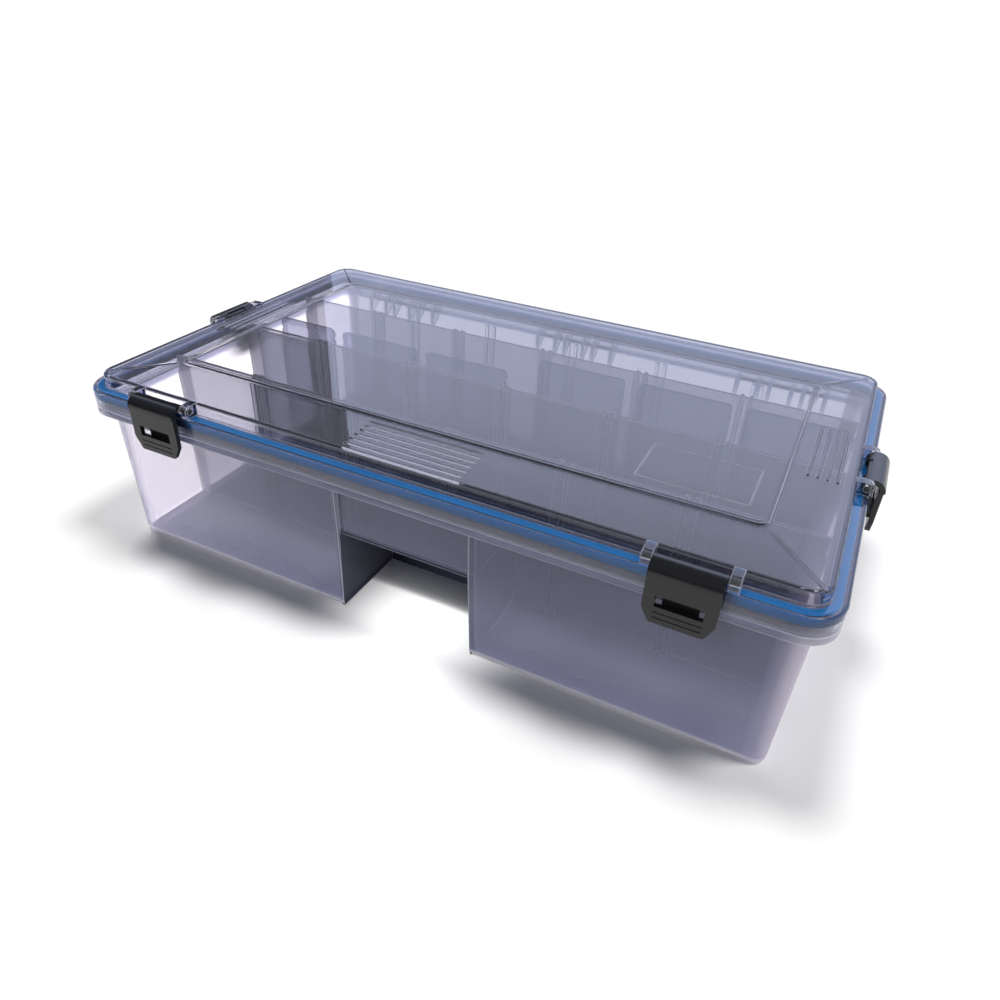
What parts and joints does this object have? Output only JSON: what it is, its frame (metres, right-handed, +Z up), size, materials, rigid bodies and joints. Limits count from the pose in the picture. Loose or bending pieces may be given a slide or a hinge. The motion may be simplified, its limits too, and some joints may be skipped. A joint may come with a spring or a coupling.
{
  "type": "tackle box",
  "caption": "Translucent tackle box with a clear gasketed lid, swinging latches, pinned rear hinges, slotted inner rows, loose dividers and a front recess.",
  "frame": {"origin": "middle of the underside of the tub, halfway along and halfway across the lid's flange", "axes": "+X to the right along the length, +Y to the hinged back, +Z up; the recess and two of the latches face -Y"},
  "size_m": [0.3672, 0.2294, 0.0949],
  "materials": {
    "tub": "frosted smoky translucent moulding",
    "lid": "clear smoky gloss moulding",
    "gasket": "smooth blue seal",
    "latch": "satin black",
    "latch_pin": "plain black rod",
    "hinge_pin": "plain drawn rod",
    "divider": "clear smoky plate"
  },
  "bodies": {
    "base": {"base_tub": "tub", "hinge_pin_left": "hinge_pin", "hinge_pin_middle": "hinge_pin", "hinge_pin_right": "hinge_pin", "divider_1": "divider", "divider_2": "divider", "divider_3": "divider", "divider_4": "divider", "divider_5": "divider", "divider_6": "divider", "divider_7": "divider"},
    "lid": {"lid": "lid", "gasket": "gasket", "pin_front_left": "latch_pin", "pin_front_right": "latch_pin", "pin_left": "latch_pin", "pin_right": "latch_pin"},
    "latch_front_left": {"latch_front_left": "latch"},
    "latch_front_right": {"latch_front_right": "latch"},
    "latch_left": {"latch_left": "latch"},
    "latch_right": {"latch_right": "latch"}
  },
  "joints": [
    {"name": "lid_hinge", "type": "hinge", "parent": "base", "child": "lid", "pos_m": [0, 0.1124, 0.078], "axis": [-1, 0, 0], "range_deg": [0, 110]},
    {"name": "latch_front_left_hinge", "type": "hinge", "parent": "lid", "child": "latch_front_left", "pos_m": [-0.125, -0.106, 0.0908], "axis": [-1, 0, 0], "range_deg": [0, 110]},
    {"name": "latch_front_right_hinge", "type": "hinge", "parent": "lid", "child": "latch_front_right", "pos_m": [0.125, -0.106, 0.0908], "axis": [-1, 0, 0], "range_deg": [0, 110]},
    {"name": "latch_left_hinge", "type": "hinge", "parent": "lid", "child": "latch_left", "pos_m": [-0.176, 0, 0.0908], "axis": [0, 1, 0], "range_deg": [0, 110]},
    {"name": "latch_right_hinge", "type": "hinge", "parent": "lid", "child": "latch_right", "pos_m": [0.176, 0, 0.0908], "axis": [0, -1, 0], "range_deg": [0, 110]}
  ]
}
